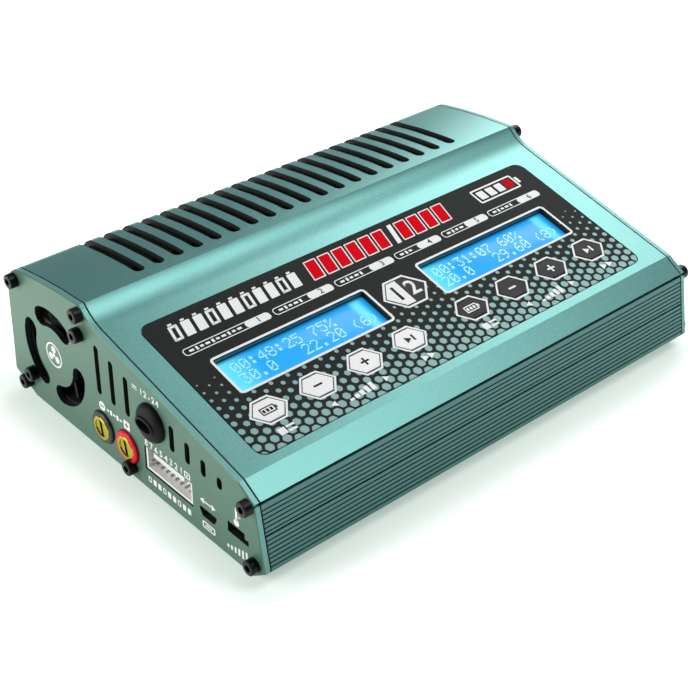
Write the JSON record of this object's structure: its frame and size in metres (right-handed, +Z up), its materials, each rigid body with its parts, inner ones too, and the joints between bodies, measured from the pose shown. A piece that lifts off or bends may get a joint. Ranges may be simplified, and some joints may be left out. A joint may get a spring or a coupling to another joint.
{
  "type": "balance battery charger",
  "caption": "Balance battery charger in a vented aluminium case with a sloped display panel, hexagonal keys, output sockets and cooling fans.",
  "frame": {"origin": "under the middle of the case, at the underside of the feet", "axes": "+X along the case towards the right end plate, +Y from the ribbed front wall to the back, +Z up"},
  "size_m": [0.2044, 0.1386, 0.0552],
  "materials": {
    "case_teal": "satin anodised",
    "plate_green": "satin anodised",
    "screw_black": "black oxide",
    "film_black": "satin printed film",
    "key_white": "satin",
    "key_black": "satin",
    "plastic_black": "satin",
    "rubber_black": "satin",
    "socket_grey": "satin",
    "socket_red": "gloss",
    "gold": "polished, gold plated",
    "connector_white": "satin",
    "display": "gloss",
    "steel": "bright",
    "board": "solder mask",
    "screen_black": "matt mesh"
  },
  "bodies": {
    "case": {"balance_port_left": "connector_white", "balance_port_right": "connector_white", "cable_grommet": "rubber_black", "contact_neg_left": "gold", "contact_neg_right": "gold", "contact_pos_left": "gold", "contact_pos_right": "gold", "display_board": "board", "dust_screen": "screen_black", "end_plate_left": "plate_green", "end_plate_right": "plate_green", "fan_frame_left": "plastic_black", "fan_frame_right": "plastic_black", "fan_screw_lower_left": "screw_black", "fan_screw_lower_right": "screw_black", "fan_screw_upper_left": "screw_black", "fan_screw_upper_right": "screw_black", "foot_back_left": "rubber_black", "foot_back_right": "rubber_black", "foot_front_left": "rubber_black", "foot_front_right": "rubber_black", "label_overlay": "film_black", "lcd_module_left": "display", "lcd_module_right": "display", "lower_shell": "case_teal", "main_board": "board", "plate_screw_chin_left": "screw_black", "plate_screw_chin_right": "screw_black", "plate_screw_edge_left": "screw_black", "plate_screw_edge_right": "screw_black", "plate_screw_floor_left": "screw_black", "plate_screw_floor_right": "screw_black", "plate_screw_skirt_left": "screw_black", "plate_screw_skirt_right": "screw_black", "plate_screw_tail_left": "screw_black", "plate_screw_tail_right": "screw_black", "plate_screw_top_left": "screw_black", "plate_screw_top_right": "screw_black", "socket_neg_left": "socket_grey", "socket_neg_right": "socket_grey", "socket_pos_left": "socket_red", "socket_pos_right": "socket_red", "temp_port_left": "plastic_black", "temp_port_right": "plastic_black", "upper_shell": "case_teal", "usb_port_left": "steel", "usb_port_right": "steel"},
    "key_1_body": {"key_1": "key_white"},
    "key_2_body": {"key_2": "key_white"},
    "key_3_body": {"key_3": "key_white"},
    "key_4_body": {"key_4": "key_white"},
    "key_5_body": {"key_5": "key_black"},
    "key_6_body": {"key_6": "key_black"},
    "key_7_body": {"key_7": "key_black"},
    "key_8_body": {"key_8": "key_black"},
    "key_channel_body": {"key_channel": "key_white"},
    "fan_rotor_left_body": {"fan_rotor_left": "plastic_black"},
    "fan_rotor_right_body": {"fan_rotor_right": "plastic_black"}
  },
  "joints": [
    {"name": "key_1_press", "type": "slide", "parent": "case", "child": "key_1_body", "axis": [0, 0.2215, -0.9751], "range_m": [0, 0.0004], "stiffness_N_per_m": 800},
    {"name": "key_2_press", "type": "slide", "parent": "case", "child": "key_2_body", "axis": [0, 0.2215, -0.9751], "range_m": [0, 0.0004], "stiffness_N_per_m": 800},
    {"name": "key_3_press", "type": "slide", "parent": "case", "child": "key_3_body", "axis": [0, 0.2215, -0.9751], "range_m": [0, 0.0004], "stiffness_N_per_m": 800},
    {"name": "key_4_press", "type": "slide", "parent": "case", "child": "key_4_body", "axis": [0, 0.2215, -0.9751], "range_m": [0, 0.0004], "stiffness_N_per_m": 800},
    {"name": "key_5_press", "type": "slide", "parent": "case", "child": "key_5_body", "axis": [0, 0.2215, -0.9751], "range_m": [0, 0.0004], "stiffness_N_per_m": 800},
    {"name": "key_6_press", "type": "slide", "parent": "case", "child": "key_6_body", "axis": [0, 0.2215, -0.9751], "range_m": [0, 0.0004], "stiffness_N_per_m": 800},
    {"name": "key_7_press", "type": "slide", "parent": "case", "child": "key_7_body", "axis": [0, 0.2215, -0.9751], "range_m": [0, 0.0004], "stiffness_N_per_m": 800},
    {"name": "key_8_press", "type": "slide", "parent": "case", "child": "key_8_body", "axis": [0, 0.2215, -0.9751], "range_m": [0, 0.0004], "stiffness_N_per_m": 800},
    {"name": "key_channel_press", "type": "slide", "parent": "case", "child": "key_channel_body", "axis": [0, 0.2215, -0.9751], "range_m": [0, 0.0004], "stiffness_N_per_m": 800},
    {"name": "fan_spin_left", "type": "hinge", "parent": "case", "child": "fan_rotor_left_body", "pos_m": [-0.0842, 0.0397, 0.02786], "axis": [-1, 0, 0], "continuous": true},
    {"name": "fan_spin_right", "type": "hinge", "parent": "case", "child": "fan_rotor_right_body", "pos_m": [0.0842, 0.0397, 0.02786], "axis": [1, 0, 0], "continuous": true}
  ]
}
